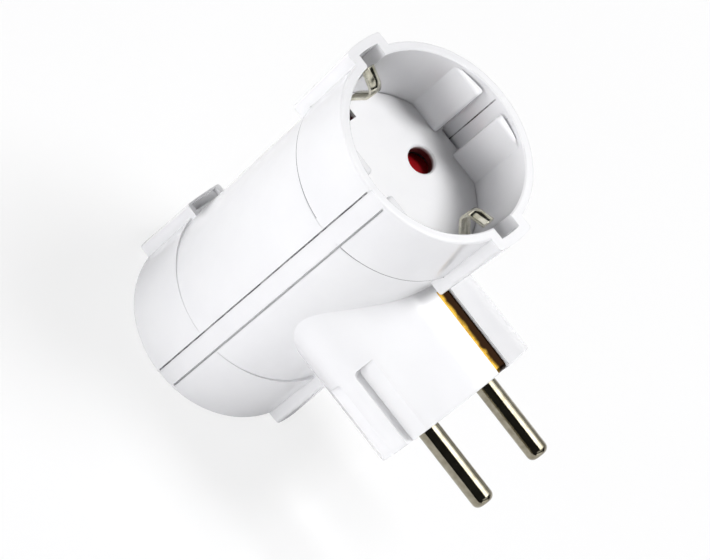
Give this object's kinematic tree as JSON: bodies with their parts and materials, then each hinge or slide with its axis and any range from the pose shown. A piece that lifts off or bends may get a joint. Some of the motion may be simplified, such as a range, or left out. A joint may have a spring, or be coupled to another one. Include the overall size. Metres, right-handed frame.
{
  "type": "double plug adapter",
  "caption": "Earthed double plug adapter: a two-pin plug standing out from the middle of a round housing with a recessed earthed socket at each end.",
  "frame": {"origin": "centre of the plug's pin face, midway between the two pins", "axes": "+Y the way the pins point, into the wall socket; +Z from the lower socket to the upper one, along the housing; +X from the neutral pin to the line pin"},
  "size_m": [0.043, 0.0858, 0.088],
  "materials": {
    "shell_white": "glossy moulded white",
    "floor_white": "glossy moulded white",
    "shutter_red": "glossy moulded red",
    "carrier_grey": "matt moulded light grey",
    "contact_brass": "rolled brass strip",
    "pin_nickel": "turned brass, bright nickel plate",
    "earth_nickel": "rolled brass strip, bright nickel plate",
    "rivet_metal": "turned brass",
    "spring_wire": "drawn steel wire",
    "screw_steel": "bright zinc plate"
  },
  "bodies": {
    "housing": {"plug_half_shell": "shell_white", "back_half_shell": "shell_white", "upper_socket_floor": "floor_white", "lower_socket_floor": "floor_white", "upper_shutter_spring": "spring_wire", "lower_shutter_spring": "spring_wire", "upper_contact_carrier": "carrier_grey", "lower_contact_carrier": "carrier_grey", "upper_line_contact": "contact_brass", "upper_neutral_contact": "contact_brass", "lower_line_contact": "contact_brass", "lower_neutral_contact": "contact_brass", "line_busbar": "contact_brass", "neutral_busbar": "contact_brass", "line_link": "contact_brass", "neutral_link": "contact_brass", "line_pin": "pin_nickel", "neutral_pin": "pin_nickel", "pin_carrier": "carrier_grey", "upper_earth_bracket": "earth_nickel", "lower_earth_bracket": "earth_nickel", "upper_earth_strip": "earth_nickel", "lower_earth_strip": "earth_nickel", "earth_link": "earth_nickel", "contact_rivets": "rivet_metal", "link_rivets": "rivet_metal", "earth_rivets": "rivet_metal", "assembly_screw": "screw_steel"},
    "upper_shutter": {"upper_shutter": "shutter_red"},
    "lower_shutter": {"lower_shutter": "shutter_red"}
  },
  "joints": [
    {"name": "upper_shutter_turn", "type": "hinge", "parent": "housing", "child": "upper_shutter", "pos_m": [0, -0.0426, 0.0223], "axis": [0, 0, -1], "range_deg": [0, 42], "stiffness_Nm_per_rad": 0.002, "springref_deg": -17.19, "deforming": ["upper_shutter_spring"]},
    {"name": "lower_shutter_turn", "type": "hinge", "parent": "housing", "child": "lower_shutter", "pos_m": [0, -0.0426, -0.0223], "axis": [0, 0, 1], "range_deg": [0, 42], "stiffness_Nm_per_rad": 0.002, "springref_deg": -17.19, "deforming": ["lower_shutter_spring"]}
  ]
}
